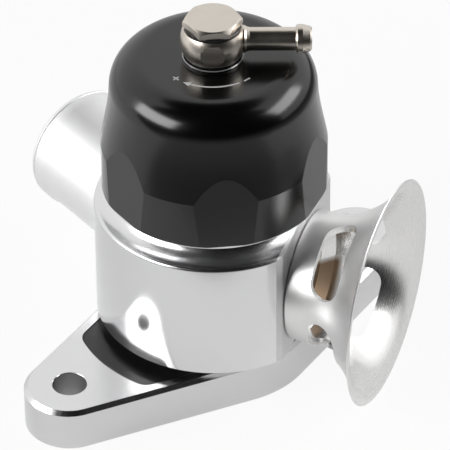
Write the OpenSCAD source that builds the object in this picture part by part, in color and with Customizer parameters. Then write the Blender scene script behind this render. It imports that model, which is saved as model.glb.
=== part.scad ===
// Adjustable blow off valve with a two-bolt flange, a flared vent trumpet and a return tube.
// The origin is on the valve's axis, in the plane of the flange's lower face.
// +Z points up through the cap and +X along the trumpet. All sizes are in millimetres.

/* [Flange] */
// Thickness of the mounting flange
flange_t = 11.3; // [9:0.1:14]
// Distance between the two mounting bolts
bolt_spacing = 91; // [84:0.5:110]
// Diameter of the mounting bolt holes
bolt_hole_d = 8.2; // [6.4:0.1:9]
// Radius of the lobes round the bolt holes
lobe_r = 11; // [9:0.1:13]
// Radius of the flange's middle
flange_mid_r = 24.4; // [24:0.1:28]
// Angle of the bolt line, counted from the trumpet
bolt_line_deg = 61.5; // [45:0.5:120]
// Bevel on the flange's upper edge
flange_bevel = 1; // [0.5:0.1:1.8]
// Bevel on the flange's lower edge
flange_foot_bevel = 0.5; // [0.2:0.1:0.8]
// Outer radius of the pocket round the body's foot
pocket_r = 34.7; // [32:0.1:37]
// Depth of the pocket
pocket_depth = 2; // [1:0.1:3]
// Rim left between the pocket and the flange's edge
pocket_rim = 3; // [2:0.1:4]
// Radius of the pocket's corners
pocket_corner_r = 4; // [2:0.1:5]

/* [Body] */
// Radius of the turned body
body_r = 29; // [27:0.1:32]
// Height of the turned body, from its lower edge to its shoulder
body_h = 31.7; // [29:0.1:36]
// Gap between the flange's upper face and the body's lower edge
foot_gap = 2.5; // [1:0.1:4]
// Bevel on the body's turned edges
body_bevel = 0.4; // [0.2:0.1:0.8]
// Distance from the axis to the flat face that carries the trumpet
port_flat_x = 23.6; // [23.6:0.1:26]
// Width of the bevel on the upright corners of that face
flat_bevel = 1.5; // [0.5:0.1:2]
// Height of both ports' axes above the flange's lower face
port_z = 28.2; // [28:0.1:31]
// Radius of both port tubes' bores
port_r = 11.4; // [10:0.1:12]
// Outer radius of the inlet spigot
spigot_r = 16.8; // [16.4:0.1:17.2]
// Radius of the inlet passage
inlet_r = 14; // [12:0.1:14.4]
// Radius of the cylinder that the piston runs in
piston_bore_r = 18; // [17.6:0.1:19]
// Radius of the neck that the cap screws on
neck_r = 23.4; // [22.8:0.1:23.5]
// Height of the neck above the shoulder
neck_h = 16.5; // [14:0.1:18]
// Radius of the cove between the shoulder and the neck
cove_r = 4.6; // [3:0.1:4.9]

/* [Trumpet] */
// Outer radius of the trumpet's tube
trumpet_r = 16; // [15.6:0.1:17]
// Wall of the trumpet
trumpet_wall = 1.9; // [1.4:0.1:1.9]
// Length of the trumpet, from the flat face to its mouth
trumpet_l = 20.7; // [19:0.1:26]
// Radius of the trumpet's rim
rim_r = 27.9; // [24:0.1:28]
// Straight length of the tube before the flare
flare_start = 2.4; // [1:0.1:3.5]
// Distance of the slots' middle from the flat face
slot_x = 10; // [9:0.1:11]
// Width of the slots
slot_w = 7.8; // [5:0.1:8.5]
// Angle that each slot spans, end to end
slot_span_deg = 68; // [55:1:76]
// Angle of the first slot's middle, counted up from the horizontal
slot_deg = 56; // [30:1:60]
// Number of slots
slot_count = 4; // [3:1:4]

/* [Return tube] */
// Angle of the return tube, counted from the trumpet
return_deg = 149; // [140:1:165]
// Outer radius of the return tube
return_r = 14.7; // [14.4:0.1:15]
// Distance from the axis to the return tube's end
return_l = 56; // [48:0.5:70]
// Depth of the spot face that the tube stands on, from the body's turned side
return_face_depth = 3.5; // [2.5:0.1:4.5]
// Height of the bead round the tube's end
return_bead = 0.5; // [0.3:0.1:1]
// Length of the bead
return_bead_l = 3; // [2:0.1:5]

/* [Cap] */
// Radius of the cap's lower land
cap_r = 27; // [26.6:0.1:28]
// Distance between opposite flats at the cap's foot
cap_across_flats = 52.8; // [52.5:0.1:53.6]
// Lean of the flats towards the axis
cap_flat_lean = 2.5; // [0:0.1:3]
// Height of the cap
cap_h = 35.7; // [34.7:0.1:40]
// Turn of the flats from the trumpet's line
cap_flat_turn = -2; // [-30:1:30]
// Height of the narrow lip at the foot
cap_lip_h = 0.7; // [0.3:0.1:1.5]
// Depth of the step between the land and that lip
cap_lip_depth = 0.8; // [0.4:0.1:1.2]
// Height of the lower land with its lip
cap_land_h = 12.1; // [9:0.1:14]
// Height of the tapered part above the land
cap_taper_h = 12.4; // [10:0.1:14]
// Radius of the cap's waist
cap_waist_r = 24.6; // [24:0.1:25.5]
// Radius of the rounding at the top
cap_round_r = 8; // [5:0.1:9]
// Gap between the shoulder and the cap's lower edge as it is set
cap_gap = 5.2; // [5:0.1:6.5]
// Depth of the threaded skirt over the neck
cap_skirt_h = 17.3; // [16.7:0.1:18.7]
// Radius of the spring chamber inside the cap
cap_chamber_r = 19; // [17:0.1:20]
// Thickness of the cap's crown
cap_crown_t = 8.9; // [7:0.1:9.5]
// Radius of the boss under the banjo fitting
boss_r = 7.2; // [6.8:0.1:9]
// Height of that boss
boss_h = 0.8; // [0.4:0.1:1.2]

/* [Banjo fitting] */
// Radius of the round banjo eye
eye_r = 7.7; // [7.2:0.1:9]
// Height of the banjo eye between its faces
eye_h = 7; // [6:0.1:8]
// Diameter of the flat on each side of the eye
eye_flat_d = 5.8; // [4:0.1:6]
// Radius of the banjo bolt's shank
bolt_r = 5; // [4:0.1:5.2]
// Length of the banjo bolt's shank under its head
bolt_l = 18.4; // [16:0.1:20]
// Hexagon of the banjo bolt, across its flats
hex_af = 12.3; // [12:0.1:14]
// Height of the hexagon
hex_h = 1.9; // [1.5:0.1:4]
// Thickness of each sealing washer
washer_t = 0.6; // [0.5:0.1:1.2]
// Angle of the hose barb, counted from the trumpet
barb_deg = 21.5; // [0:0.5:90]
// Distance from the axis to the barb's tip
barb_l = 23.1; // [20:0.1:30]
// Radius of the barb's tube
barb_r = 2.75; // [2.4:0.05:3]
// Radius of the barb's bead
barb_bead_r = 3.4; // [3.1:0.05:3.6]
// Length of the barb's bead and nose
barb_bead_l = 3.8; // [3:0.1:5]
// Radius of the air passage through the fitting
barb_bore_r = 1.6; // [1:0.1:1.8]

/* [Piston and spring] */
// Height of the piston
piston_h = 41.5; // [39:0.1:43]
// Thickness of the piston's floor
piston_floor_t = 4; // [3:0.1:5]
// Inner radius of the piston's cup
piston_cup_r = 13.5; // [13:0.1:14]
// Radius of the spring's wire
wire_r = 1.1; // [0.8:0.05:1.3]
// Radius of the spring's coil, at the middle of the wire
coil_r = 11.2; // [10.8:0.1:11.6]
// Number of the spring's turns
coil_turns = 7; // [5:1:9]
// Radius of the upper spring seat
spring_seat_r = 15.5; // [14:0.1:16.5]
// Thickness of the upper spring seat
spring_seat_t = 2.5; // [2:0.1:3]
// Thickness of the thrust washer under the cap
thrust_t = 1.5; // [1:0.1:2]

/* [Seals and clips] */
// Radius of the cord of the cap's and the piston's seals
seal_cord_r = 1; // [0.8:0.05:1.1]
// Radius of the cord of the port, spigot and flange seals
thin_cord_r = 0.75; // [0.6:0.05:0.8]
// Thickness of the snap ring under the flange
clip_t = 1.2; // [1:0.1:1.4]
// Outer radius of the snap ring
clip_r = 18.8; // [18.4:0.1:19]
// Gap between the snap ring's ends
clip_gap_deg = 40; // [20:5:60]

/* [Hidden] */
$fn = 96;
// Running clearance between pieces that slide or turn on each other, on the radius
run = 0.05;
// Room for a round cord along its groove
cord_room = 0.4;
// Small gap between pieces that only stand against each other
fit = 0.03;
// Overrun of a cutting tool past the face that it cuts
over = 1;

pocket_floor_z = flange_t - pocket_depth;
gasket_gap = 0.1;
gasket_t = pocket_depth - gasket_gap;
body_seat_z = pocket_floor_z + gasket_t + fit;
body_foot_z = flange_t + foot_gap;
shoulder_z = body_foot_z + body_h;
neck_top_z = shoulder_z + neck_h;
lobe_x = bolt_spacing / 2;
hole_bevel = 0.15;
// Room between the body's foot and the side of the pocket
foot_room = 0.4;
foot_r = flange_mid_r - pocket_rim - foot_room;

clip_room = 0.5;
clip_recess_z = 3.4;
clip_z = clip_recess_z - fit - clip_t;
clip_groove_depth = 0.9;
clip_recess_r = clip_r + clip_room;
spigot_foot_z = 1;
spigot_bevel = 0.5;
spigot_bore_r = spigot_r + run;
spigot_seal_z = (clip_recess_z + pocket_floor_z) / 2;
flange_groove_r = (clip_recess_r + flange_mid_r - flange_foot_bevel) / 2;

seat_t = 1.7;
seat_z = body_foot_z + seat_t;
port_spigot_wall = 2.2;
port_spigot_r = port_r + port_spigot_wall;
port_spigot_l = 5;
// The body's own passages are narrower than the tubes' bores by this much
port_step = 0.3;
passage_r = port_r - port_step;
return_face_x = body_r - return_face_depth;
return_face_room = 0.4;
flat_half_w = sqrt(body_r * body_r - port_flat_x * port_flat_x);
flat_edge_deg = atan2(flat_half_w, port_flat_x);
corner_cut_x = body_r * cos(flat_edge_deg / 2) - flat_bevel / 2 * tan(flat_edge_deg / 2);

cap_bottom_z = shoulder_z + cap_gap;
cap_land_z = cap_bottom_z + cap_land_h;
cap_waist_z = cap_land_z + cap_taper_h;
cap_top_z = cap_bottom_z + cap_h;
cap_ceiling_z = cap_top_z - cap_crown_t;
cap_bore_r = neck_r + run;
cap_edge_bevel = 0.4;
cap_seal_drop = 4;
cap_seal_z = neck_top_z - cap_seal_drop;

boss_top_z = cap_top_z + boss_h;
eye_foot_z = boss_top_z + washer_t + 2 * fit;
eye_top_z = eye_foot_z + eye_h;
eye_z = (eye_foot_z + eye_top_z) / 2;
head_z = eye_top_z + washer_t + 2 * fit;
eye_face_r = sqrt(eye_r * eye_r - eye_h * eye_h / 4);
washer_inset = 0.2;
washer_r = eye_face_r - washer_inset;
head_bevel = 0.5;

barb_collar_l = 1.4;
barb_collar_step = 0.5;
barb_edge = 0.4;

thrust_z = cap_ceiling_z - fit - thrust_t;
thrust_inset = 1;
// Room for air round the banjo bolt's end
bolt_room = 1;
hub_room = 0.6;
hub_h = 4;
spring_seat_z = thrust_z - fit - spring_seat_t;
piston_z = seat_z + run;
piston_r = piston_bore_r - run;
spring_foot_z = piston_z + piston_floor_t + fit;
spring_h = spring_seat_z - fit - spring_foot_z;

// Distance of the piston's ring seal and wear ring from its upper edge
piston_seal_drop = 7;
piston_wear_drop = 12.5;
piston_seal_h = piston_h - piston_seal_drop;
piston_wear_h = piston_h - piston_wear_drop;
piston_wear_w = 4;
piston_wear_t = 1.5;
face_seal_w = 2.4;
face_seal_t = 1.3;
face_seal_r = (inlet_r + piston_r) / 2;

// Radius of the trumpet's flare, an arc that leaves the tube straight and ends at the rim
flare_z = port_flat_x + flare_start;
flare_rise = rim_r - trumpet_r;
flare_reach = trumpet_l - flare_start;
flare_r = (flare_rise * flare_rise + flare_reach * flare_reach) / (2 * flare_rise);
flare_x = trumpet_r + flare_r;
trumpet_bevel = 0.5;
tube_edge = 0.6;

// Points of an arc about [x, y], from one angle to the other
function arc(x, y, r, from, to, steps) =
    [for (i = [0:steps]) let (a = from + (to - from) * i / steps) [x + r * cos(a), y + r * sin(a)]];

// Points of a square groove turned into an outside wall of radius r
function groove(r, depth, z, w) =
    [[r, z - w / 2], [r - depth, z - w / 2], [r - depth, z + w / 2], [r, z + w / 2]];

// Depth and width of the groove that holds a ring of the given cord
function cord_depth(cord) = 2 * cord + run;
function cord_width(cord) = 2 * cord + cord_room;

// A turned ring with square edges
module washer(r_out, r_in, t) {
    difference() {
        cylinder(r = r_out, h = t);
        translate([0, 0, -over]) cylinder(r = r_in, h = t + 2 * over);
    }
}

// A ring of round cord whose outside just meets a bore of radius r
module cord_ring(r, cord) {
    rotate_extrude() translate([r - cord, 0]) circle(r = cord);
}

// Turns a child that stands on the Z axis into a port at the given angle
module on_port(deg) {
    translate([0, 0, port_z]) rotate([0, 0, deg]) rotate([0, 90, 0]) children();
}

// The flange's lozenge outline, drawn in by the given amount
module lozenge(inset) {
    hull() {
        circle(r = flange_mid_r - inset);
        for (x = [-lobe_x, lobe_x]) translate([x, 0]) circle(r = lobe_r - inset);
    }
}

// The pocket's outline: a round cut short by the flange's rim, with rounded corners
module pocket_outline(inset) {
    offset(r = pocket_corner_r - inset) offset(delta = -pocket_corner_r) intersection() {
        circle(r = pocket_r);
        lozenge(pocket_rim);
    }
}

// A round of the flange's outline with both of its bevelled edges
module flange_round(r) {
    cylinder(r1 = r - flange_foot_bevel, r2 = r, h = flange_foot_bevel);
    cylinder(r = r, h = flange_t - flange_bevel);
    translate([0, 0, flange_t - flange_bevel]) cylinder(r1 = r, r2 = r - flange_bevel, h = flange_bevel);
}

// A mounting bolt's hole with a bevelled mouth
module bolt_hole() {
    hole_r = bolt_hole_d / 2;
    translate([0, 0, -over]) cylinder(r = hole_r, h = flange_t + 2 * over);
    translate([0, 0, flange_t - hole_bevel])
        cylinder(r1 = hole_r, r2 = hole_r + hole_bevel + over, h = hole_bevel + over);
}

// Machined two-bolt flange with a pocket for the gasket, a bore for the spigot and a seal groove below
module mounting_flange() {
    groove_w = cord_width(thin_cord_r);
    color("gainsboro") rotate(bolt_line_deg) difference() {
        hull($fn = 64) {
            flange_round(flange_mid_r);
            for (x = [-lobe_x, lobe_x]) translate([x, 0, 0]) flange_round(lobe_r);
        }
        translate([0, 0, pocket_floor_z]) linear_extrude(pocket_depth + over) pocket_outline(0);
        translate([0, 0, -over]) cylinder(r = spigot_bore_r, h = flange_t + 2 * over);
        translate([0, 0, -over]) cylinder(r = clip_recess_r, h = clip_recess_z + over);
        for (x = [-lobe_x, lobe_x]) translate([x, 0, 0]) bolt_hole();
        translate([0, 0, -over]) washer(flange_groove_r + groove_w / 2, flange_groove_r - groove_w / 2,
                                        2 * thin_cord_r + 2 * fit + over);
    }
}

// Black moulded gasket that fills the pocket and is clamped under the body's foot
module base_gasket() {
    color("#202020") rotate(bolt_line_deg) translate([0, 0, pocket_floor_z + fit / 2]) difference() {
        linear_extrude(gasket_t) pocket_outline(gasket_gap);
        translate([0, 0, -over]) cylinder(r = spigot_bore_r, h = gasket_t + 2 * over);
    }
}

// Ring seal in the flange's lower face
module flange_seal() {
    color("#181818") translate([0, 0, thin_cord_r + fit])
        cord_ring(flange_groove_r + thin_cord_r, thin_cord_r);
}

// Ring seal between the inlet spigot and the flange
module spigot_seal() {
    color("#181818") translate([0, 0, spigot_seal_z]) cord_ring(spigot_r, thin_cord_r);
}

// Open snap ring that holds the flange on the spigot
module flange_circlip() {
    color("dimgray") translate([0, 0, clip_z]) rotate(bolt_line_deg + clip_gap_deg / 2)
        rotate_extrude(angle = 360 - clip_gap_deg)
            translate([spigot_r - clip_groove_depth + run, 0])
                square([clip_r - spigot_r + clip_groove_depth - run, clip_t]);
}

// Turned section of the body, with its spigot, foot, shoulder, neck and the piston's cylinder
module body_section() {
    polygon(concat(
        [[inlet_r, spigot_foot_z]],
        [[spigot_r - spigot_bevel, spigot_foot_z], [spigot_r, spigot_foot_z + spigot_bevel]],
        groove(spigot_r, clip_groove_depth, clip_z + clip_t / 2, clip_t + 2 * fit),
        groove(spigot_r, cord_depth(thin_cord_r), spigot_seal_z, cord_width(thin_cord_r)),
        [[spigot_r, body_seat_z], [foot_r, body_seat_z], [foot_r, body_foot_z]],
        [[body_r - body_bevel, body_foot_z], [body_r, body_foot_z + body_bevel]],
        [[body_r, shoulder_z - body_bevel], [body_r - body_bevel, shoulder_z]],
        arc(neck_r + cove_r, shoulder_z + cove_r, cove_r, 270, 180, 16),
        groove(neck_r, cord_depth(seal_cord_r), cap_seal_z, cord_width(seal_cord_r)),
        [[neck_r, neck_top_z - body_bevel], [neck_r - body_bevel, neck_top_z]],
        [[piston_bore_r, neck_top_z], [piston_bore_r, seat_z], [inlet_r, seat_z]]));
}

// A flat milled down the body's side at the given angle and distance, clear of the neck
module side_cut(deg, x) {
    rotate(deg) translate([x, -body_r, body_foot_z - over]) cube([body_r, 2 * body_r, body_h + cove_r + 2 * over]);
}

// Turned body with a flat face for the trumpet, a spot face for the return tube and both port passages
module valve_body() {
    color("silver") difference() {
        rotate_extrude() body_section();
        side_cut(0, port_flat_x);
        for (s = [-1, 1]) side_cut(s * flat_edge_deg / 2, corner_cut_x);
        on_port(0) cylinder(r = passage_r, h = body_r);
        on_port(0) translate([0, 0, port_flat_x - port_spigot_l - fit])
            cylinder(r = port_spigot_r + run, h = body_r);
        on_port(return_deg) cylinder(r = passage_r, h = body_r);
        on_port(return_deg) translate([0, 0, return_face_x - port_spigot_l - fit])
            cylinder(r = port_spigot_r + run, h = body_r);
        on_port(return_deg) translate([0, 0, return_face_x])
            cylinder(r = return_r + return_face_room, h = body_r);
    }
}

// Spigot of a port tube with its seal groove, from its inner end up to the port's face
function port_spigot(face) = concat(
    [[port_r, face - port_spigot_l], [port_spigot_r, face - port_spigot_l]],
    groove(port_spigot_r, cord_depth(thin_cord_r), face - port_spigot_l / 2, cord_width(thin_cord_r)),
    [[port_spigot_r, face + fit]]);

// Section of the trumpet's straight tube with its spigot
module trumpet_tube_section() {
    inner_r = trumpet_r - trumpet_wall;
    polygon(concat(
        port_spigot(port_flat_x),
        [[trumpet_r - trumpet_bevel, port_flat_x + fit], [trumpet_r, port_flat_x + fit + trumpet_bevel]],
        [[trumpet_r, flare_z], [inner_r, flare_z], [port_r, flare_z - inner_r + port_r]]));
}

// Section of the trumpet's flare: the strip between two arcs that lie one wall apart
module trumpet_flare_section() {
    intersection() {
        difference() {
            translate([flare_x - trumpet_wall, flare_z]) circle(r = flare_r);
            translate([flare_x, flare_z]) circle(r = flare_r);
        }
        translate([0, flare_z]) square([flare_x, flare_reach]);
    }
}

// One slot through the trumpet's wall, with round ends, about the Z axis
module trumpet_slot() {
    wall_r = flare_x - sqrt(flare_r * flare_r - pow(slot_x - flare_start, 2)) - trumpet_wall / 2;
    end_deg = asin(slot_w / 2 / wall_r);
    half_deg = slot_span_deg / 2 - end_deg;
    translate([0, 0, port_flat_x + slot_x]) rotate(-half_deg)
        rotate_extrude(angle = 2 * half_deg) translate([port_r, -slot_w / 2]) square([rim_r, slot_w]);
    for (s = [-1, 1]) translate([0, 0, port_flat_x + slot_x]) rotate(s * half_deg)
        rotate([0, 90, 0]) translate([0, 0, port_r]) cylinder(d = slot_w, h = rim_r);
}

// Turned vent trumpet with slots round its tube
module vent_trumpet() {
    color("gainsboro") on_port(0) difference() {
        union() {
            rotate_extrude() trumpet_tube_section();
            rotate_extrude() trumpet_flare_section();
        }
        for (i = [0:slot_count - 1]) rotate(90 - slot_deg + 360 / slot_count * i) trumpet_slot();
    }
}

// Ring seal on the trumpet's spigot
module trumpet_seal() {
    color("#181818") on_port(0) translate([0, 0, port_flat_x - port_spigot_l / 2])
        cord_ring(port_spigot_r, thin_cord_r);
}

// Turned return tube with a bead at its end
module return_tube() {
    bead_round = return_bead_l / 2;
    color("gainsboro") on_port(return_deg) rotate_extrude() polygon(concat(
        port_spigot(return_face_x),
        [[return_r, return_face_x + fit], [return_r, return_l - 2 * return_bead_l]],
        [[return_r + return_bead, return_l - 2 * return_bead_l + bead_round]],
        [[return_r + return_bead, return_l - bead_round - tube_edge]],
        arc(return_r + return_bead - bead_round, return_l - bead_round, bead_round, 0, 90, 8),
        [[port_r + tube_edge, return_l], [port_r, return_l - tube_edge]]));
}

// Ring seal on the return tube's spigot
module return_seal() {
    color("#181818") on_port(return_deg) translate([0, 0, return_face_x - port_spigot_l / 2])
        cord_ring(port_spigot_r, thin_cord_r);
}

// Turned piston: a cup with a seal and a wear ring near its top and a face seal below
module piston() {
    color("lightgray") translate([0, 0, piston_z]) difference() {
        rotate_extrude() polygon(concat(
            [[0, 0], [piston_r - body_bevel, 0], [piston_r, body_bevel]],
            groove(piston_r, piston_wear_t + run, piston_wear_h, piston_wear_w + 2 * run),
            groove(piston_r, cord_depth(seal_cord_r), piston_seal_h, cord_width(seal_cord_r)),
            [[piston_r, piston_h], [piston_cup_r, piston_h]],
            [[piston_cup_r, piston_floor_t], [0, piston_floor_t]]));
        translate([0, 0, -over])
            washer(face_seal_r + face_seal_w / 2 + run, face_seal_r - face_seal_w / 2 - run,
                   face_seal_t + run + over);
    }
}

// Ring seal near the piston's top
module piston_seal() {
    color("#181818") translate([0, 0, piston_z + piston_seal_h]) cord_ring(piston_r, seal_cord_r);
}

// Plastic wear ring that carries the piston in its cylinder
module piston_wear_ring() {
    color("ivory") translate([0, 0, piston_z + piston_wear_h - piston_wear_w / 2])
        washer(piston_r, piston_r - piston_wear_t, piston_wear_w);
}

// Rubber ring in the piston's lower face that closes on the seat
module piston_face_seal() {
    color("#181818") translate([0, 0, piston_z])
        washer(face_seal_r + face_seal_w / 2, face_seal_r - face_seal_w / 2, face_seal_t);
}

// A point on the spring's wire: turn counts along the coil, ring angle a goes round the wire
function wire_point(turn, a) =
    let (flat_turns = 1, live = coil_turns - 2 * flat_turns)
    let (rise = (spring_h - 2 * wire_r - 4 * flat_turns * wire_r) / live)
    let (low = min(turn, flat_turns) * 2 * wire_r)
    let (mid = max(0, min(turn - flat_turns, live)) * rise)
    let (high = max(0, turn - flat_turns - live) * 2 * wire_r)
    let (r = coil_r + wire_r * cos(a))
    [r * cos(360 * turn), r * sin(360 * turn), wire_r + low + mid + high + wire_r * sin(a)];

// Coil spring with closed ends, swept along its own helix
module spring() {
    sides = 8;
    turn_steps = 18;
    steps = turn_steps * coil_turns;
    points = [for (i = [0:steps]) for (j = [0:sides - 1])
        wire_point(i / turn_steps, -360 * j / sides)];
    walls = [for (i = [0:steps - 1]) for (j = [0:sides - 1]) let (k = (j + 1) % sides)
        [i * sides + j, i * sides + k, (i + 1) * sides + k, (i + 1) * sides + j]];
    first = [for (j = [sides - 1:-1:0]) j];
    last = [for (j = [0:sides - 1]) steps * sides + j];
    color("steelblue") translate([0, 0, spring_foot_z]) polyhedron(points, concat(walls, [first, last]));
}

// Upper spring seat with a hub that centres the coil
module spring_seat() {
    hub_r = coil_r - wire_r - hub_room;
    color("silver") translate([0, 0, spring_seat_z]) difference() {
        union() {
            cylinder(r = spring_seat_r, h = spring_seat_t);
            translate([0, 0, -hub_h]) cylinder(r = hub_r, h = hub_h + over);
        }
        translate([0, 0, -hub_h - over])
            cylinder(r = bolt_r + bolt_room, h = hub_h + spring_seat_t + 2 * over);
    }
}

// Slippery washer between the turning cap and the spring seat
module thrust_washer() {
    color("ivory") translate([0, 0, thrust_z])
        washer(spring_seat_r - thrust_inset, bolt_r + bolt_room, thrust_t);
}

// Turned section of the cap, with its threaded skirt, spring chamber and crown
module cap_section() {
    round_x = cap_waist_r - cap_round_r;
    round_z = cap_top_z - cap_round_r;
    skirt_top_z = cap_bottom_z + cap_skirt_h;
    lip_r = cap_r - cap_lip_depth;
    lip_top_z = cap_bottom_z + cap_lip_h;
    polygon(concat(
        [[cap_bore_r, cap_bottom_z], [lip_r, cap_bottom_z], [lip_r, lip_top_z]],
        [[cap_r - cap_edge_bevel, lip_top_z], [cap_r, lip_top_z + cap_edge_bevel]],
        [[cap_r, cap_land_z], [cap_waist_r, cap_waist_z]],
        arc(round_x, round_z, cap_round_r, 0, 90, 24),
        [[boss_r, cap_top_z], [boss_r, boss_top_z]],
        [[bolt_r + run, boss_top_z], [bolt_r + run, cap_ceiling_z]],
        [[cap_chamber_r, cap_ceiling_z], [cap_chamber_r, skirt_top_z], [cap_bore_r, skirt_top_z]]));
}

// Black adjuster cap, turned and then milled with six flats that lean in
module cap() {
    color("#1a1a1a") difference() {
        rotate_extrude() cap_section();
        for (i = [0:5]) rotate(60 * i + cap_flat_turn)
            translate([cap_across_flats / 2, 0, cap_bottom_z]) rotate([0, -cap_flat_lean, 0])
                translate([0, -cap_r, -over]) cube([cap_r, 2 * cap_r, cap_h + 2 * over]);
    }
}

// Ring seal between the neck and the cap
module cap_seal() {
    color("#181818") translate([0, 0, cap_seal_z]) cord_ring(neck_r, seal_cord_r);
}

// Hollow hexagon bolt with a cross drilling that feeds the spring chamber
module banjo_bolt() {
    hex_r = hex_af / 2 / cos(30);
    head_top_r = hex_af / 2 - washer_inset;
    bevel_slope = head_bevel / (hex_r - head_top_r);
    color("tan") difference() {
        union() {
            translate([0, 0, head_z]) intersection() {
                rotate(barb_deg) cylinder(r = hex_r, h = hex_h, $fn = 6);
                rotate_extrude() polygon([[0, 0], [hex_r + over, 0],
                                          [hex_r + over, hex_h - head_bevel - over * bevel_slope],
                                          [head_top_r, hex_h], [0, hex_h]]);
            }
            translate([0, 0, head_z - bolt_l]) cylinder(r = bolt_r, h = bolt_l + hex_h / 2);
        }
        translate([0, 0, head_z - bolt_l - over])
            cylinder(r = barb_bore_r, h = eye_z - head_z + bolt_l + over + barb_bore_r);
        translate([0, 0, eye_z]) rotate([0, 90, barb_deg])
            cylinder(r = barb_bore_r, h = 3 * bolt_r, center = true);
    }
}

// Sealing washer under the banjo eye
module banjo_washer_lower() {
    color("#181818") translate([0, 0, boss_top_z + fit]) washer(washer_r, bolt_r + run, washer_t);
}

// Sealing washer under the bolt's head
module banjo_washer_upper() {
    color("#181818") translate([0, 0, eye_top_z + fit]) washer(washer_r, bolt_r + run, washer_t);
}

// Turned hose barb along the Z axis: tube, bead and tapered nose
module barb() {
    bead_x = barb_l - barb_bead_l;
    crest_l = barb_bead_l / 3;
    collar_x = eye_r + barb_collar_l;
    collar_r = barb_r + barb_collar_step;
    root_x = bolt_r + barb_edge;
    rotate_extrude() polygon([
        [0, root_x], [collar_r, root_x], [collar_r, collar_x - barb_edge], [barb_r, collar_x],
        [barb_r, bead_x], [barb_bead_r, bead_x + barb_edge], [barb_bead_r, bead_x + barb_edge + crest_l],
        [barb_r + barb_edge / 2, barb_l - barb_edge], [barb_r - barb_edge / 2, barb_l], [0, barb_l]]);
}

// Plated banjo eye with its hose barb
module banjo_fitting() {
    flat_x = sqrt(eye_r * eye_r - eye_flat_d * eye_flat_d / 4);
    color("tan") difference() {
        union() {
            translate([0, 0, eye_z]) intersection() {
                sphere(r = eye_r);
                translate([0, 0, -eye_h / 2]) cylinder(r = 2 * eye_r, h = eye_h);
                rotate(barb_deg) cube([4 * eye_r, 2 * flat_x, 2 * eye_r], center = true);
            }
            translate([0, 0, eye_z]) rotate([0, 90, barb_deg]) barb();
        }
        translate([0, 0, eye_foot_z - over]) cylinder(r = bolt_r + run, h = eye_h + 2 * over);
        translate([0, 0, eye_z]) rotate([0, 90, barb_deg]) cylinder(r = barb_bore_r, h = barb_l + over);
    }
}

mounting_flange();
base_gasket();
flange_seal();
spigot_seal();
flange_circlip();
valve_body();
vent_trumpet();
trumpet_seal();
return_tube();
return_seal();
piston();
piston_seal();
piston_wear_ring();
piston_face_seal();
spring();
spring_seat();
thrust_washer();
cap();
cap_seal();
banjo_bolt();
banjo_washer_lower();
banjo_fitting();
banjo_washer_upper();
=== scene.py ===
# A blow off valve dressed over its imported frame, in the order in which the real one is put together.
# The valve stands on its flange. Its axis is +Z and the vent trumpet points along +X.
import math

import bmesh
import bpy
from mathutils import Matrix, Vector


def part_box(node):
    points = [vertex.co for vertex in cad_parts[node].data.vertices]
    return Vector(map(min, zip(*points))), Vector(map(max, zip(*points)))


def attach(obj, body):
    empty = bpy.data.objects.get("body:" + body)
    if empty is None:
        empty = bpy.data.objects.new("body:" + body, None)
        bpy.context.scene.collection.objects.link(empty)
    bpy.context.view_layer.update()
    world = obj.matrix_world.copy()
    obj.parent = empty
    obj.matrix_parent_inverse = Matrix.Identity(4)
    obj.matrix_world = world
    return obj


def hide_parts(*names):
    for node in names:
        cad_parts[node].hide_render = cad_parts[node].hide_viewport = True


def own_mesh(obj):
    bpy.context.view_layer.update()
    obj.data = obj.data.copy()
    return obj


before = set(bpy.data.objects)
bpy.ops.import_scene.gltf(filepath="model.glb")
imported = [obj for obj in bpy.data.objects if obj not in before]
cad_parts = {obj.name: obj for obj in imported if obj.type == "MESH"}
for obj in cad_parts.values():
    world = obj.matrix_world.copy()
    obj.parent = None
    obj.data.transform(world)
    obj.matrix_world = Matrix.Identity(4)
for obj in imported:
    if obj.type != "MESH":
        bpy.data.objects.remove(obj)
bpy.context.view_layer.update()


# Camera.
# A long lens about a metre from the valve, above it and to the right of the flange's front lobe.
azimuth = math.radians(21.98)
elevation = math.radians(37.97)
roll = math.radians(-0.565)
distance = 1.02614
back = Vector((math.sin(azimuth)*math.cos(elevation), -math.cos(azimuth)*math.cos(elevation),
               math.sin(elevation)))
level = Vector((math.cos(azimuth), math.sin(azimuth), 0))
rise = back.cross(level)
right = level*math.cos(roll) + rise*math.sin(roll)
up = rise*math.cos(roll) - level*math.sin(roll)
aim = right*0.002414 + Vector((0, 0, 0.03642))
bpy.ops.object.select_all(action="DESELECT")
bpy.ops.object.camera_add()
camera = bpy.context.object
camera.name = "camera"
camera.data.sensor_width = 36
camera.data.lens = 340.9
camera.data.clip_start = 0.05
camera.data.clip_end = 30
camera_turn = Matrix((right, up, back)).transposed().to_4x4()
camera.matrix_world = Matrix.Translation(aim + back*distance) @ camera_turn
bpy.context.scene.camera = camera


# Mounting flange.
# A lozenge of milled aluminium with two bolt holes, bevelled along its edges. A shallow pocket in its top
# takes the gasket, and a bore with a recess below takes the body's spigot and its snap ring.
mm = 0.001
weld = 2e-6
bolt_turn = 61.5
lobe_x = 45.5
lobe_r = 11
middle_r = 24.4
hole_r = 4.1
spigot_bore = 16.85
flange_top = 11.3
upper_bevel = 1
lower_bevel = 0.5
pocket_floor = 9.3
pocket_r = 34.7
pocket_side = 21.4
pocket_corner = 4


def arc(x, y, r, first, last, steps):
    """Points of an arc about x, y, between two angles in degrees."""
    angles = [math.radians(first + (last - first)*i/steps) for i in range(steps + 1)]
    return [(x + r*math.cos(a), y + r*math.sin(a)) for a in angles]


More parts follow.
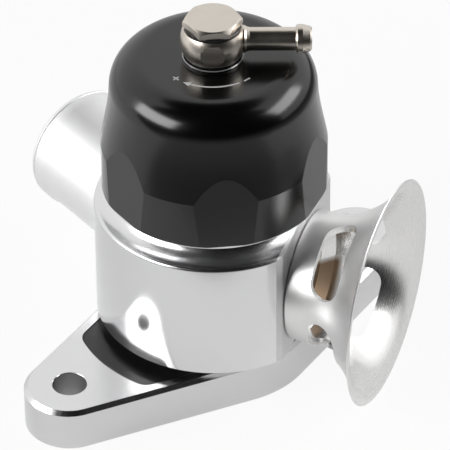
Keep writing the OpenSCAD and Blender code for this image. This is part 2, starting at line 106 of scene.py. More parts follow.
def line_of_vertices(name, points):
    """Starts a piece as a chain of vertices, each extruded from the one before, and stays in edit mode."""
    bpy.ops.object.select_all(action="DESELECT")
    bpy.ops.mesh.primitive_plane_add(size=1)
    piece = bpy.context.object
    piece.name = name
    bpy.ops.object.mode_set(mode="EDIT")
    bpy.ops.mesh.select_mode(type="VERT")
    bpy.ops.mesh.merge(type="CENTER")
    places = [Vector(p)*mm for p in points]
    bpy.ops.transform.translate(value=places[0])
    for before, after in zip(places, places[1:]):
        bpy.ops.mesh.extrude_region_move(TRANSFORM_OT_translate={"value": after - before})
    bpy.ops.mesh.select_all(action="SELECT")
    return piece


def sheet(name, points):
    """A single face with the given outline, still in edit mode."""
    piece = line_of_vertices(name, points + points[:1])
    bpy.ops.mesh.remove_doubles(threshold=weld)
    bpy.ops.mesh.edge_face_add()
    return piece


def close_up():
    """Merges the doubles, turns all faces outwards and leaves edit mode."""
    bpy.ops.mesh.select_all(action="SELECT")
    bpy.ops.mesh.remove_doubles(threshold=weld)
    bpy.ops.mesh.normals_make_consistent(inside=False)
    bpy.ops.object.mode_set(mode="OBJECT")


def drawn(name, outline, low, high):
    """A plate with the given outline, from one height to the other."""
    piece = sheet(name, [(x, y, low) for x, y in outline])
    bpy.ops.mesh.extrude_region_move(TRANSFORM_OT_translate={"value": (0, 0, (high - low)*mm)})
    close_up()
    return piece


def turned(name, outline, steps=128, sweep=360):
    """A piece turned about Z, clockwise from +X, from the radius and height of its section's points."""
    piece = line_of_vertices(name, [(r, 0, z) for r, z in outline])
    bpy.ops.mesh.spin(steps=steps, angle=math.radians(sweep), center=(0, 0, 0), axis=(0, 0, 1))
    close_up()
    return piece


def only(piece):
    """Selects one piece and nothing else."""
    bpy.ops.object.select_all(action="DESELECT")
    piece.select_set(True)
    bpy.context.view_layer.objects.active = piece


def bevel_rim(piece, normal, width):
    """Draws a flat end face in and out again, which leaves a bevel all round it."""
    only(piece)
    bpy.ops.object.mode_set(mode="EDIT")
    bpy.ops.mesh.select_mode(type="FACE")
    bpy.ops.mesh.select_all(action="DESELECT")
    mesh = bmesh.from_edit_mesh(piece.data)
    for face in mesh.faces:
        face.select_set(face.normal.dot(Vector(normal)) > 0.99)
    bmesh.update_edit_mesh(piece.data)
    bpy.ops.mesh.inset(thickness=width*mm, depth=width*mm)
    bpy.ops.object.mode_set(mode="OBJECT")


def put(piece, turn=(0, 0, 0), place=(0, 0, 0)):
    """Turns a piece, in degrees, moves it, in millimetres, and keeps that in its mesh."""
    only(piece)
    piece.rotation_euler = [math.radians(a) for a in turn]
    piece.location = Vector(place)*mm
    bpy.ops.object.transform_apply(location=True, rotation=True, scale=True)
    return piece


def cut(piece, cutter, operation="DIFFERENCE"):
    """Cuts a piece with another, or joins them, and takes the other away."""
    only(piece)
    boolean = piece.modifiers.new("cut", "BOOLEAN")
    boolean.operation = operation
    boolean.solver = "EXACT"
    boolean.object = cutter
    bpy.ops.object.modifier_apply(modifier=boolean.name)
    bpy.data.objects.remove(cutter)


def smooth(piece, degrees):
    """Smooth shading that breaks at edges sharper than the given angle."""
    only(piece)
    bpy.ops.object.shade_smooth_by_angle(angle=math.radians(degrees))


def paint(piece, material):
    """Gives a piece its one material."""
    piece.data.materials.clear()
    piece.data.materials.append(material)


def dress(piece, material, body, slot, *nodes):
    """Gives a finished piece its material, its body and the nodes that it stands for. The record's slot is
    not used.
    """
    paint(piece, material)
    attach(piece, body)
    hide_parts(*nodes)


lean = math.degrees(math.asin((middle_r - lobe_r)/lobe_x))
lozenge = arc(lobe_x, 0, lobe_r, lean - 90, 90 - lean, 40) + arc(0, 0, middle_r, 90 - lean, 90 + lean, 16)
lozenge += [(-x, -y) for x, y in lozenge]


def pocket(inset):
    """The pocket's outline: a round cut short by the flange's rim, with round corners."""
    reach = pocket_r - pocket_corner
    corner = 90 - lean - math.degrees(math.acos((pocket_side - pocket_corner)/reach))
    x = reach*math.cos(math.radians(corner))
    y = reach*math.sin(math.radians(corner))
    side = arc(0, 0, pocket_r - inset, -corner, corner, 24)
    side += arc(x, y, pocket_corner - inset, corner, 90 - lean, 10)
    side += arc(0, 0, pocket_side - inset, 90 - lean, 90 + lean, 16)
    side += arc(-x, y, pocket_corner - inset, 90 + lean, 180 - corner, 10)
    return side + [(-a, -b) for a, b in side]


flange = drawn("flange", lozenge, lower_bevel, flange_top - upper_bevel)
bevel_rim(flange, (0, 0, 1), upper_bevel)
bevel_rim(flange, (0, 0, -1), lower_bevel)
cut(flange, drawn("pocket_cutter", pocket(0), pocket_floor, 13))
flange_bore = [(0, -1), (19.3, -1), (19.3, 3.4), (spigot_bore, 3.4), (spigot_bore, 13), (0, 13)]
cut(flange, turned("bore_cutter", flange_bore))
seal_groove = [(20.65, -1), (22.55, -1), (22.55, 1.56), (20.65, 1.56), (20.65, -1)]
cut(flange, turned("groove_cutter", seal_groove))
for side in (-1, 1):
    hole = turned("hole_cutter", [(0, -1), (hole_r, -1), (hole_r, 11.15), (5.55, 12.6), (0, 12.6)], 64)
    cut(flange, put(hole, place=(side*lobe_x, 0, 0)))
put(flange, turn=(0, 0, bolt_turn))
smooth(flange, 20)


class Wire:
    """A socket of a node tree. Sums on wires add the nodes that work them out."""

    def __init__(self, tree, socket):
        self.tree = tree
        self.socket = socket

    def node(self, kind, settings=None, sockets=None, output=0):
        """Adds any node: its settings first, then the values or links of its sockets."""
        made = self.tree.nodes.new(kind)
        for key, value in (settings or {}).items():
            setattr(made, key, value)
        for key, value in (sockets or {}).items():
            self.feed(made.inputs[key], value)
        return Wire(self.tree, made.outputs[output])

    def feed(self, socket, value):
        """Links a wire to a socket, or sets a plain value on it."""
        if isinstance(value, Wire):
            self.tree.links.new(value.socket, socket)
        else:
            socket.default_value = value

    def other(self, name):
        """Another output of the same node."""
        return Wire(self.tree, self.socket.node.outputs[name])

    def axes(self):
        """The x, y and z of a wire of coordinates."""
        x = self.node("ShaderNodeSeparateXYZ", {}, {0: self})
        return x, x.other("Y"), x.other("Z")

    def math(self, operation, first, second):
        return self.node("ShaderNodeMath", {"operation": operation}, {0: first, 1: second})

    def __add__(self, value):
        return self.math("ADD", self, value)

    def __sub__(self, value):
        return self.math("SUBTRACT", self, value)

    def __rsub__(self, value):
        return self.math("SUBTRACT", value, self)

    def __mul__(self, value):
        return self.math("MULTIPLY", self, value)

    def __pow__(self, value):
        return self.math("POWER", self, value)

    def above(self, value):
        """One where the wire is above the value, and nought elsewhere."""
        return self.math("GREATER_THAN", self, value)

    def fade(self, none, full):
        """Rises from nought to one between two places in millimetres."""
        return self.node("ShaderNodeMapRange", {}, {"Value": self, "From Min": none*mm, "From Max": full*mm})

    def noise(self, scale, detail=3, roughness=0.55):
        """Soft noise in space over a wire of coordinates."""
        return self.node("ShaderNodeTexNoise", {},
                         {"Vector": self, "Scale": scale, "Detail": detail, "Roughness": roughness})

    def streaks(self, scale):
        """Noise along one line, for the marks that a tool leaves."""
        return self.node("ShaderNodeTexNoise", {"noise_dimensions": "1D"},
                         {"W": self, "Scale": scale, "Detail": 4, "Roughness": 0.65})

    def blend(self, low, high):
        """Mixes two colours, by this wire."""
        return self.node("ShaderNodeMix", {"data_type": "RGBA"}, {0: self, 6: low, 7: high}, output=2)

    def bump(self, strength, height):
        """A normal from this wire as a height, in millimetres."""
        return self.node("ShaderNodeBump", {}, {"Strength": strength, "Distance": height*mm, "Height": self})


def new_material(name):
    """An empty material: itself, its shader and its Object coordinates."""
    material = bpy.data.materials.new(name)
    material.use_nodes = True
    tree = material.node_tree
    start = Wire(tree, tree.nodes["Principled BSDF"].outputs[0])
    return material, tree.nodes["Principled BSDF"], start.node("ShaderNodeTexCoord", output="Object")


def machined(name, colour, roughness, tool_mark, turn=(0, 0, 0), centre=(0, 0, 0)):
    """Bright machined aluminium: tool marks round an axis, faint clouds and fingermarks in the gloss."""
    material, shader, place = new_material(name)
    local = place.node("ShaderNodeMapping", {"vector_type": "TEXTURE"},
                       {"Vector": place, "Location": Vector(centre)*mm,
                        "Rotation": [math.radians(a) for a in turn]})
    x, y, z = local.axes()
    reach = (x*x + y*y)**0.5 + z
    marks = reach.streaks(2600)
    clouds = place.noise(70, 4)
    smears = place.noise(260, 5, 0.6)
    gloss = (marks - 0.5)*(0.5*roughness) + (clouds - 0.5)*(0.35*roughness) + (smears - 0.5)*(0.3*roughness)
    place.feed(shader.inputs["Base Color"], clouds.blend([c*0.965 for c in colour[:3]] + [1], colour))
    place.feed(shader.inputs["Roughness"], gloss + roughness)
    place.feed(shader.inputs["Normal"], marks.bump(tool_mark, 0.004))
    shader.inputs["Metallic"].default_value = 1
    return material


milled_aluminium = machined("milled_aluminium", (0.73, 0.73, 0.735, 1), 0.22, 0.12)


def opened(material):
    """A finished material's shader, the wires of its colour and gloss, and the place in x, y and z."""
    tree = material.node_tree
    shader = tree.nodes["Principled BSDF"]
    colour = Wire(tree, shader.inputs["Base Color"].links[0].from_socket)
    gloss = Wire(tree, shader.inputs["Roughness"].links[0].from_socket)
    place = colour.node("ShaderNodeTexCoord", output="Object")
    return shader, colour, gloss, *place.axes()


def roughen_and_shade_holes(material):
    """The two bolt holes keep the drill's rough wall, and their walls are darkened as painted shade."""
    shader, colour, gloss, x, y, _ = opened(material)
    bolt_line = math.radians(bolt_turn)
    drilled_r = hole_r + 0.05
    across = x.math("ABSOLUTE", x, 0) - lobe_x*math.cos(bolt_line)*mm
    along = y.math("ABSOLUTE", y, 0) - lobe_x*math.sin(bolt_line)*mm
    rough_and_shaded_hole = (drilled_r*mm - (across*across + along*along)**0.5).above(0)
    # Painted shade: the holes' walls are blended to a darker grey, standing in for the shade inside them.
    colour.feed(shader.inputs["Base Color"], rough_and_shaded_hole.blend(colour, (0.52, 0.52, 0.52, 1)))
    colour.feed(shader.inputs["Roughness"], gloss + rough_and_shaded_hole*0.2)


roughen_and_shade_holes(milled_aluminium)
dress(flange, milled_aluminium, "housing", "machined_aluminium", "mounting_flange")


# Ring seal in the flange's lower face.
# A black rubber cord laid in the groove, which seals the flange on the charge pipe.
def rubber(name, shade, roughness, grain_scale):
    """Black moulded rubber with a fine grain and a little dust in its gloss."""
    material, shader, place = new_material(name)
    grain = place.noise(grain_scale, 3)
    dust = place.noise(120, 4)
    dusty = (shade*1.8, shade*1.8, shade*1.85, 1)
    place.feed(shader.inputs["Base Color"], dust.blend((shade, shade, shade, 1), dusty))
    place.feed(shader.inputs["Roughness"], (grain - 0.5)*0.12 + (dust - 0.5)*0.1 + roughness)
    place.feed(shader.inputs["Normal"], grain.bump(0.15, 0.02))
    return material


seal_rubber = rubber("seal_rubber", 0.02, 0.42, 2500)
flange_ring = turned("flange_ring", arc(21.6, 0.78, 0.75, 0, 360, 20), 96)
smooth(flange_ring, 40)
dress(flange_ring, seal_rubber, "housing", "seal_rubber", "flange_seal")


# Base gasket.
# Smooth black rubber moulded to the pocket, with a lightly bevelled edge. The body's foot clamps it.
gasket_rubber = rubber("gasket_rubber", 0.008, 0.22, 1400)
gasket_foot = pocket_floor + 0.015
gasket = drawn("gasket", pocket(0.1), gasket_foot, gasket_foot + 1.7)
bevel_rim(gasket, (0, 0, 1), 0.2)
cut(gasket, turned("bore_cutter", [(0, 9), (spigot_bore, 9), (spigot_bore, 13), (0, 13)]))
put(gasket, turn=(0, 0, bolt_turn))
smooth(gasket, 20)
dress(gasket, gasket_rubber, "housing", "gasket_rubber", "base_gasket")


# Valve body.
# Turned from aluminium bar and polished bright: a spigot below, a foot, the barrel with its shoulder, and a
# neck for the cap that rises in a cove. One side is milled flat, and two ports open into the bore.
def trim(piece, distance, degrees):
    """Mills a flat at that distance from the axis, facing the given way."""
    facing = Vector((math.cos(math.radians(degrees)), math.sin(math.radians(degrees)), 0))
    only(piece)
    bpy.ops.object.mode_set(mode="EDIT")
    bpy.ops.mesh.select_all(action="SELECT")
    bpy.ops.mesh.bisect(plane_co=facing*distance*mm, plane_no=facing, use_fill=True, clear_outer=True)
    bpy.ops.object.mode_set(mode="OBJECT")


def groove(r, depth, z, width):
    """Section of a square groove turned into an outside wall."""
    return [(r, z - width/2), (r - depth, z - width/2), (r - depth, z + width/2), (r, z + width/2)]


port_z = 28.2
port_place = (0, 0, port_z)
vent_way = (0, 90, 0)
return_way = (0, 90, 149)
spigot = [(14, 1), (16.3, 1), (16.8, 1.5)] + groove(16.8, 0.9, 2.77, 1.26) + groove(16.8, 1.55, 6.35, 1.9)
barrel = [(16.8, 11.23), (21, 11.23), (21, 13.8), (28.6, 13.8), (29, 14.2)] + arc(28.2, 44.7, 0.8, 0, 90, 8)
neck = arc(28, 50.1, 4.6, 270, 180, 24) + groove(23.4, 2.05, 58, 2.4) + [(23.4, 61.6), (23, 62)]
barrel_bore = [(18, 62), (18, 15.5), (14, 15.5), (14, 1)]
body = turned("body", spigot + barrel + neck + barrel_bore, 160)
trim(body, 23.6, 0)
for bevel_way in (22.7, -22.7):
    trim(body, 27.91, bevel_way)
vent_hole = [(0, 10), (11.1, 10), (11.1, 18.57), (13.65, 18.57), (13.65, 32), (0, 32)]
cut(body, put(turned("vent_cutter", vent_hole), vent_way, port_place))
return_hole = [(0, 10), (11.1, 10), (11.1, 20.47), (13.65, 20.47), (13.65, 25.5), (15.1, 25.5), (15.1, 32),
               (0, 32)]
cut(body, put(turned("return_cutter", return_hole), return_way, port_place))
smooth(body, 10)
polished_aluminium = machined("polished_aluminium", (0.75, 0.75, 0.755, 1), 0.15, 0.1)
cove_foot = 44.6
milled_x = 22.75


def dull_cove(material):
    """The cove under the cap and the milled side are left as the cutter makes them, without the polish."""
    shader, _, gloss, x, _, z = opened(material)
    cove = z.above(cove_foot*mm)
    side = x.above(milled_x*mm)
    gloss.feed(shader.inputs["Roughness"], gloss + cove*0.08 + side*0.35)


dull_cove(polished_aluminium)
dress(body, polished_aluminium, "housing", "machined_aluminium", "valve_body")


# Snap ring.
# A flat open ring of spring steel that clips into the spigot's groove and holds the flange on the body.
def wire_steel(name, colour, roughness):
    """Drawn or stamped spring steel with faint clouds and specks."""
    material, shader, place = new_material(name)
    specks = place.noise(900, 4)
    clouds = place.noise(140, 3)
    place.feed(shader.inputs["Base Color"], clouds.blend([c*0.85 for c in colour[:3]] + [1], colour))
    place.feed(shader.inputs["Roughness"], (specks - 0.5)*0.14 + (clouds - 0.5)*0.1 + roughness)
    place.feed(shader.inputs["Normal"], specks.bump(0.1, 0.01))
    shader.inputs["Metallic"].default_value = 1
    return material


spring_steel = wire_steel("spring_steel", (0.45, 0.46, 0.48, 1), 0.3)
snap_section = [(15.95, 2.17), (18.6, 2.17), (18.8, 2.37), (18.8, 3.17), (18.6, 3.37), (15.95, 3.37),
                (15.95, 2.17)]
snap_ring = turned("snap_ring", snap_section, 112, 320)
only(snap_ring)
bpy.ops.object.mode_set(mode="EDIT")
bpy.ops.mesh.select_all(action="SELECT")
bpy.ops.mesh.fill_holes(sides=0)
close_up()
put(snap_ring, turn=(0, 0, 41.5))
smooth(snap_ring, 20)
dress(snap_ring, spring_steel, "housing", "spring_steel", "flange_circlip")


# Vent trumpet.
# Turned from aluminium with a spigot, a short straight tube and a flare that opens like a bell. Four long
# slots with round ends are milled through its wall behind the bell, and the rim is lightly rounded.
trumpet_r = 16
trumpet_wall = 1.9
flare_r = 20.02
flare_start = 26
flare_sweep = 66.07
flare = arc(trumpet_r + flare_r, flare_start, flare_r, 180, 180 - flare_sweep, 40)
bell_inside = [(r - trumpet_wall, z) for r, z in reversed(flare)]
bell_rim = [(27.86, 44.1), (27.66, 44.28), (27.4, 44.3), (26.4, 44.3), (26.12, 44.2)]
trumpet = turned("trumpet", [(11.4, 18.6), (13.6, 18.6)] + groove(13.6, 1.55, 21.1, 1.9)
                 + [(13.6, 23.63), (15.5, 23.63), (trumpet_r, 24.13)] + flare[:-1] + bell_rim
                 + bell_inside[1:] + [(11.4, 23.3), (11.4, 18.6)], 160)
slot_z = 33.6
slot_r = 16.55
slot_core = 11.8
slot_half = 3.9
slot_reach = 34
first_slot = 34
slot_turn = slot_reach - math.degrees(math.asin(slot_half/slot_r))


def slot_end(middle, first):
    """The half round end of a slot, as angle and offset along the tube."""
    ends = [math.radians(first + 180*i/16) for i in range(17)]
    return [(middle + math.degrees(math.asin(slot_half*math.cos(a)/slot_r)), slot_half*math.sin(a))
            for a in ends]


slot_sides = [slot_turn*(1 - i/5) for i in range(1, 10)]
slot_line = slot_end(slot_turn, -90) + [(a, slot_half) for a in slot_sides]
slot_line += slot_end(-slot_turn, 90) + [(-a, -slot_half) for a in slot_sides]
slot_cutter = sheet("slot_cutter", [(slot_core*math.cos(math.radians(a)), slot_core*math.sin(math.radians(a)),
                                     slot_z + along) for a, along in slot_line])
bpy.ops.mesh.extrude_region_move()
bpy.ops.transform.resize(value=(2.6, 2.6, 1), center_override=(0, 0, 0))
close_up()
for quarter in range(4):
    only(slot_cutter)
    bpy.ops.object.duplicate()
    cut(trumpet, put(bpy.context.object, turn=(0, 0, first_slot + 90*quarter)))
bpy.data.objects.remove(slot_cutter)
put(trumpet, vent_way, port_place)
smooth(trumpet, 25)
satin_aluminium = machined("satin_aluminium", (0.86, 0.855, 0.85, 1), 0.26, 0.08, vent_way, port_place)


def dull_and_tint_trumpet(material):
    """A slightly duller outside, and a warm dark brown tint, also rougher, low inside the throat's far side.
    """
    shader, colour, gloss, x, y, z = opened(material)
    z = z - port_z*mm
    reach = (y*y + z*z)**0.5
    flared = x.math("MAXIMUM", x - flare_start*mm, 0)
    mid_wall = trumpet_r + flare_r - trumpet_wall/2
    outside = (reach + ((flare_r*mm)**2 - flared*flared)**0.5).above(mid_wall*mm)
    throat_tint = x.fade(28, 26.8)*z.fade(-3.5, -5)*y.above(3*mm)*(1 - outside)
    # A warm dark brown tint, rougher too, low inside the throat's far side.
    colour.feed(shader.inputs["Base Color"], throat_tint.blend(colour, (0.36, 0.26, 0.175, 1)))
    colour.feed(shader.inputs["Roughness"], gloss + outside*0.12 + throat_tint*0.35)


dull_and_tint_trumpet(satin_aluminium)
dress(trumpet, satin_aluminium, "housing", "machined_aluminium", "vent_trumpet")


# Return tube.
# A plain turned aluminium tube pressed into the barrel's spot face. A low bead and a rounded end hold a hose.
tube_tail = [(14.7, 50), (15.2, 51.5), (15.2, 54.1), (15, 54.3)] + arc(13.7, 54.5, 1.5, 0, 90, 12)
tube = turned("tube", [(11.4, 20.5), (13.6, 20.5)] + groove(13.6, 1.55, 23, 1.9)
              + [(13.6, 25.53), (14.5, 25.53), (14.7, 25.73)] + tube_tail
              + [(12, 56), (11.4, 55.4), (11.4, 20.5)])
put(tube, return_way, port_place)
smooth(tube, 25)
tube_aluminium = machined("tube_aluminium", (0.86, 0.86, 0.865, 1), 0.55, 0.18, return_way, port_place)
dress(tube, tube_aluminium, "housing", "machined_aluminium", "return_tube")


# Ring seals on the spigots, the neck and the piston.
# Black rubber cords that sit in turned grooves, out of sight, and keep the boost in.
for name in ("spigot_seal", "trumpet_seal", "return_seal", "cap_seal", "piston_seal"):
    paint(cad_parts[name], seal_rubber)


# Piston.
# An aluminium cup that slides in the barrel. A rubber ring let into its lower face closes on the seat.
piston_foot = [(0, 15.55), (14.725, 15.55), (14.725, 16.9), (17.225, 16.9), (17.225, 15.55), (17.55, 15.55),
               (17.95, 15.95)]
piston_cup = turned("piston_cup", piston_foot + groove(17.95, 1.55, 44.55, 4.1)
                    + groove(17.95, 2.05, 50.05, 2.4)
                    + [(17.95, 57.05), (13.5, 57.05), (13.5, 19.55), (0, 19.55)])
smooth(piston_cup, 25)
piston_aluminium = machined("piston_aluminium", (0.72, 0.68, 0.62, 1), 0.28, 0.3)
dress(piston_cup, piston_aluminium, "piston", "machined_aluminium", "piston")
face_section = [(14.775, 15.6), (14.825, 15.55), (17.125, 15.55), (17.175, 15.6), (17.175, 16.85),
                (14.775, 16.85), (14.775, 15.6)]
face_ring = turned("face_ring", face_section, 96)
smooth(face_ring, 25)
dress(face_ring, seal_rubber, "piston", "seal_rubber", "piston_face_seal")


# Spring, spring seat and bearing rings.
# A coil of bright wire stands in the piston and bears on an aluminium seat. A slippery washer lets the cap
# turn on the seat, and a wear ring of the same pale plastic carries the piston.
def pale_plastic(name):
    """Matte bearing plastic, a little cloudy."""
    material, shader, place = new_material(name)
    clouds = place.noise(160, 4)
    place.feed(shader.inputs["Base Color"], clouds.blend((0.78, 0.75, 0.66, 1), (0.86, 0.84, 0.77, 1)))
    place.feed(shader.inputs["Roughness"], (clouds - 0.5)*0.15 + 0.55)
    place.feed(shader.inputs["Normal"], place.noise(1800, 3).bump(0.1, 0.02))
    return material


bearing_plastic = pale_plastic("bearing_plastic")
for name, material in (("spring_seat", piston_aluminium), ("thrust_washer", bearing_plastic),
                       ("piston_wear_ring", bearing_plastic)):
    paint(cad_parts[name], material)
wire_r = 1.1
coil_r = 11.2
coil_turns = 7
steps_per_turn = 24
coil_foot, coil_top = [corner[2]/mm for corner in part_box("spring")]
coil_rise = (coil_top - coil_foot - 6*wire_r)/(coil_turns - 2)
coil_path = []
for step in range(steps_per_turn*coil_turns + 1):
    turns = step/steps_per_turn
    closed = min(turns, 1) + max(turns - coil_turns + 1, 0)
    open_turns = max(min(turns - 1, coil_turns - 2), 0)
    coil_path.append((coil_r*math.cos(math.tau*turns), coil_r*math.sin(math.tau*turns),
                      coil_foot + wire_r + closed*2*wire_r + open_turns*coil_rise))
coil = line_of_vertices("spring_coil", coil_path)
bpy.ops.object.mode_set(mode="OBJECT")
bpy.ops.object.convert(target="CURVE")
coil.data.bevel_depth = wire_r*mm
coil.data.bevel_resolution = 3
coil.data.use_fill_caps = True
bpy.ops.object.convert(target="MESH")
bpy.ops.object.mode_set(mode="EDIT")
close_up()
smooth(coil, 40)
dress(coil, spring_steel, "piston", "spring_steel", "spring")
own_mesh(coil)


# Cap.
# Turned from aluminium, milled with six flats and anodised a glossy black. Its lower edge was turned bright
# again after the anodising. It screws down over the neck and squeezes the spring.
lip_top = 50.32
lip_r = 24.5
boss_z = 87
boss_r = 7


def black_anodised(name):
    """Deep black anodising over turned metal, bare along the lower edge, and a third of the way to bare metal
    on the top boss's bevel.
    """
    material, shader, place = new_material(name)
    x, y, z = place.axes()
    reach = (x*x + y*y)**0.5
    marks = (reach + z).streaks(2200)
    clouds = place.noise(90, 4)
    dust = place.noise(700, 5, 0.7)
    lip = (lip_top*mm - z).above(0)*reach.above(lip_r*mm)
    bare = lip + z.above(boss_z*mm)*reach.above(boss_r*mm)*0.3
    shade = clouds.blend((0.0012, 0.0012, 0.0013, 1), (0.003, 0.003, 0.0032, 1))
    gloss = (marks - 0.5)*0.04 + (clouds - 0.5)*0.04 + (dust - 0.5)*0.03
    place.feed(shader.inputs["Base Color"], bare.blend(shade, (0.82, 0.82, 0.82, 1)))
    place.feed(shader.inputs["Metallic"], bare)
    place.feed(shader.inputs["Roughness"], gloss + 0.2)
    place.feed(shader.inputs["Normal"], marks.bump(0.04, 0.004))
    shader.inputs["IOR"].default_value = 1.55
    return material


cap_foot = [(23.45, 50.4), (24.3, 50.4), (24.3, 49.8), (26.2, 49.8), (26.2, 50.3), (26.6, 50.3), (27, 50.7)]
cap_side = [(27, 62.8), (26.1, 67.4), (25.35, 71.4), (24.82, 75.2)] + arc(16.6, 78.4, 8, 0, 90, 28)
cap_boss = [(7.5, 86.4), (7.2, 86.55), (7.2, 87.0), (7.0, 87.2), (5.05, 87.2)]
cap_inside = [(5.05, 77.5), (19, 77.5), (19, 68), (23.45, 68), (23.45, 50.4)]
cap_shell = turned("cap_shell", cap_foot + cap_side + cap_boss + cap_inside, 160)
flat_reach = 26.25
flat_lean = 1.6
flat_turn = -2
flat_z = 50
flat_block = [(flat_reach, -16), (36, -16), (36, 16), (flat_reach, 16)]
for sixth in range(6):
    flat_cutter = drawn("flat_cutter", flat_block, -4, 30)
    cut(cap_shell, put(flat_cutter, (0, -flat_lean, 60*sixth + flat_turn), (0, 0, flat_z)))
smooth(cap_shell, 8)
dress(cap_shell, black_anodised("black_anodised"), "cap", "black_anodised", "cap")


# Adjustment marks.
# A plain curved arrow with a plus and a minus, marked in pale grey on the cap's top. They show which way to
# turn it.
def mark_grey(name):
    """Pale laser marking, slightly grainy."""
    material, shader, place = new_material(name)
    grain = place.noise(2600, 4)
    place.feed(shader.inputs["Base Color"], grain.blend((0.5, 0.5, 0.5, 1), (0.72, 0.72, 0.72, 1)))
    place.feed(shader.inputs["Roughness"], (grain - 0.5)*0.2 + 0.5)
    return material


top_z = 86.4
mark_top = top_z + 0.012
arrow_z = top_z + 0.01
mark_r = 12.2


def on_ring(piece, degrees):
    """Sets a mark on the ring of marks, with its own X axis along the ring."""
    a = math.radians(degrees)
    put(piece, (0, 0, degrees + 90), (mark_r*math.cos(a), mark_r*math.sin(a), 0))


arrow = turned("arrow", [(mark_r - 0.25, arrow_z), (mark_r + 0.25, arrow_z)], 40, 56)
put(arrow, turn=(0, 0, -38))
arrow_head = drawn("arrow_head", [(-1.9, 0), (0, -0.85), (0, 0.85)], top_z, mark_top)
on_ring(arrow_head, -94)
plus_line = [(-0.9, -0.2), (-0.2, -0.2), (-0.2, -0.9), (0.2, -0.9), (0.2, -0.2), (0.9, -0.2), (0.9, 0.2),
             (0.2, 0.2), (0.2, 0.9), (-0.2, 0.9), (-0.2, 0.2), (-0.9, 0.2)]
plus = drawn("plus", plus_line, top_z, mark_top)
on_ring(plus, -113)
minus = drawn("minus", [(-0.9, -0.2), (0.9, -0.2), (0.9, 0.2), (-0.9, 0.2)], top_z, mark_top)
on_ring(minus, -28)
only(arrow)
for piece in (arrow_head, plus, minus):
    piece.select_set(True)
bpy.ops.object.join()
arrow.name = "adjustment_marks"
paint(arrow, mark_grey("mark_grey"))
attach(arrow, "cap")


# Sealing washers.
# Two thin black washers, one under the banjo eye and one under the bolt's head.
washer_rubber = rubber("washer_rubber", 0.01, 0.14, 1400)
washers = (("washer_lower", 87.23, "banjo_washer_lower"), ("washer_upper", 94.89, "banjo_washer_upper"))
for name, low, node in washers:
    washer = turned(name, [(5.05, low), (6.56, low), (6.66, low + 0.1), (6.66, low + 0.5),
                           (6.56, low + 0.6), (5.05, low + 0.6), (5.05, low)], 72)
    smooth(washer, 25)
    dress(washer, washer_rubber, "cap", "gasket_rubber", node)


# Banjo bolt.
# A hollow brass bolt, nickel plated, with a low bevelled hexagon. A cross drilling lets the eye's air into
# the cap.
def nickel(name):
    """Warm nickel plating over brass, with faint swirls and tarnish."""
    material, shader, place = new_material(name)
    tarnish = place.noise(240, 4)
    swirls = place.noise(900, 2, 0.5)
    place.feed(shader.inputs["Base Color"], tarnish.blend((0.60, 0.55, 0.485, 1), (0.70, 0.65, 0.585, 1)))
    place.feed(shader.inputs["Roughness"], (tarnish - 0.5)*0.08 + (swirls - 0.5)*0.05 + 0.31)
    place.feed(shader.inputs["Normal"], swirls.bump(0.03, 0.01))
    shader.inputs["Metallic"].default_value = 1
    return material


nickel_plate = nickel("nickel_plate")
eye_z = 91.36
eye_place = (0, 0, eye_z)
barb_turn = 21.5
barb_way = (0, 90, barb_turn)
drill_r = 1.6
head_foot = 95.52
head_top = 97.42
across_flats = 12.3
hex_r = across_flats/2/math.cos(math.radians(30))
head = turned("bolt", [(0, head_foot), (hex_r, head_foot), (hex_r, head_top), (0, head_top)], 6)
put(head, turn=(0, 0, 26.5))
bevel_cone = turned("bevel_cone", [(0, 95), (9, 95), (9, 95.25), (5.9, head_top), (0, head_top)], 96)
cut(head, bevel_cone, "INTERSECT")
shank = turned("shank", [(0, 92.96), (drill_r, 92.96), (drill_r, 77.12), (4.7, 77.12), (5, 77.42), (5, 96.4),
                         (0, 96.4)], 64)
cross_drill = turned("cross_drill", [(0, -7), (drill_r, -7), (drill_r, 7), (0, 7)], 32)
cut(shank, put(cross_drill, barb_way, eye_place))
cut(head, shank, "UNION")
smooth(head, 20)
dress(head, nickel_plate, "cap", "nickel_plate", "banjo_bolt")


# Banjo eye and hose barb.
# A ball of plated brass, flattened above, below and at both sides, that swivels on the bolt. The vacuum hose
# pushes over its barb and is held by the bead.
ball = [(r, eye_z + z) for r, z in arc(0, 0, 7.7, -27.04, 27.04, 16)]
eye = turned("eye_and_barb", [(5.05, 87.86)] + ball + [(5.05, 94.86), (5.05, 87.86)], 96)
for eye_side in (90, -90):
    trim(eye, 7.13, barb_turn + eye_side)
barb_root = [(0, 5.4), (3.25, 5.4), (3.25, 7.4), (2.95, 7.9), (2.75, 8.6)]
barb_bead = [(2.75, 19.3), (3.25, 19.5), (3.4, 19.75), (3.4, 20.97), (2.95, 22.7), (2.55, 23.1), (0, 23.1)]
barb = turned("barb", barb_root + barb_bead, 64)
cut(eye, put(barb, barb_way, eye_place), "UNION")
air_drill = turned("air_drill", [(0, 0), (drill_r, 0), (drill_r, 25), (0, 25)], 32)
cut(eye, put(air_drill, barb_way, eye_place))
smooth(eye, 14)
dress(eye, nickel_plate, "hose_fitting", "nickel_plate", "banjo_fitting")


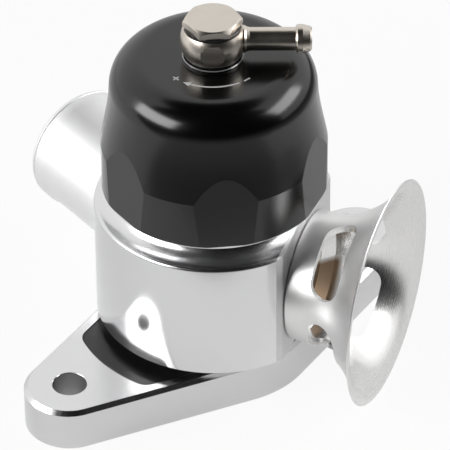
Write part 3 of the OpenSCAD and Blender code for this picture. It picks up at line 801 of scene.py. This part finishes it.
# Floor and backdrop.
# A sheet of white paper under the valve, whose front edge lies just outside the picture, and a white sweep
# behind it that only shows in the metal. In front of the sheet the room is dark.
def white_paper(name, glow, metal_glow, clear_back):
    """Paper that stays white to the eye and in the metal and takes the shadow. Its back may be clear."""
    material = bpy.data.materials.new(name)
    material.use_nodes = True
    tree = material.node_tree
    tree.nodes.remove(tree.nodes["Principled BSDF"])
    end = Wire(tree, tree.nodes["Material Output"].inputs[0])
    seen = end.node("ShaderNodeLightPath", output="Is Camera Ray")
    mirrored = (seen.other("Is Glossy Ray") + seen.other("Is Transmission Ray")).above(0.5)
    share = seen*glow + mirrored*metal_glow
    paper = end.node("ShaderNodeBsdfDiffuse", {}, {"Color": (0.9, 0.9, 0.9, 1)})
    light = end.node("ShaderNodeEmission", {}, {"Color": (1, 1, 1, 1), "Strength": 1})
    front = end.node("ShaderNodeMixShader", {}, {0: share, 1: paper, 2: light})
    clear = end.node("ShaderNodeBsdfTransparent")
    behind = end.node("ShaderNodeNewGeometry", output="Backfacing")
    both = end.node("ShaderNodeMixShader", {}, {0: behind*clear_back, 1: front, 2: clear})
    end.feed(end.socket, both)
    return material


paper_front = 0.097
paper_right = 0.18
paper_drop = 0.05
sweep_reach = 1.2
sweep_top = 2300
away = Vector((-back.x, -back.y, 0)).normalized()
bpy.ops.object.select_all(action="DESELECT")
bpy.ops.mesh.primitive_plane_add(size=1)
floor = bpy.context.object
floor.name = "floor"
floor.scale = (paper_right + sweep_reach, paper_front + sweep_reach, 1)
floor.rotation_euler = (0, 0, azimuth)
floor.location = away*(sweep_reach - paper_front)/2 + level*(paper_right - sweep_reach)/2
floor.location.z = -paper_drop*mm
bpy.ops.object.transform_apply(location=True, rotation=True, scale=True)
floor.data.materials.append(white_paper("floor_paper", 0.92, 0.5, 1))
sweep = turned("sweep", [(sweep_reach/mm, 5), (sweep_reach/mm, sweep_top)], 60, 202)
put(sweep, turn=(0, 0, 207))
smooth(sweep, 40)
sweep.data.materials.append(white_paper("sweep_paper", 1, 1, 0))
sweep.visible_camera = False


# Studio light.
# Two soft boxes, on the left and on the right, in a room with a grey floor that fades into darkness.
lamp_distance = 0.9
lamp_target = Vector((0, 0, 0.045))


def soft_box(name, degrees, height, width, tall, watts):
    """A soft box that faces the valve from the given side and height, in degrees."""
    a = math.radians(degrees)
    e = math.radians(height)
    toward = Vector((math.cos(a)*math.cos(e), math.sin(a)*math.cos(e), math.sin(e)))
    bpy.ops.object.select_all(action="DESELECT")
    bpy.ops.object.light_add(type="AREA", location=toward*lamp_distance + lamp_target)
    lamp = bpy.context.object
    lamp.name = name
    lamp.data.shape = "RECTANGLE"
    lamp.data.size = width
    lamp.data.size_y = tall
    lamp.data.energy = watts
    lamp.rotation_euler = toward.to_track_quat("Z", "Y").to_euler()
    lamp.visible_camera = False


soft_box("soft_box_left", -134, 24, 0.75, 0.42, 7.5)
soft_box("soft_box_right", 25, 31, 0.68, 0.38, 4)
world = bpy.data.worlds.new("studio")
bpy.context.scene.world = world
world.use_nodes = True
room = Wire(world.node_tree, world.node_tree.nodes["Background"].outputs[0])
camera_ray = room.node("ShaderNodeLightPath", output="Is Camera Ray")
_, _, height = room.node("ShaderNodeTexCoord", output="Generated").axes()
dim = height.node("ShaderNodeMapRange", {"interpolation_type": "SMOOTHSTEP"},
                  {"Value": height, "From Min": -0.5, "From Max": -0.05})
walls = dim.blend((0.42, 0.42, 0.42, 1), (0.006, 0.006, 0.006, 1))
room.feed(world.node_tree.nodes["Background"].inputs["Color"], camera_ray.blend(walls, (1, 1, 1, 1)))
bpy.context.scene.view_settings.view_transform = "Standard"
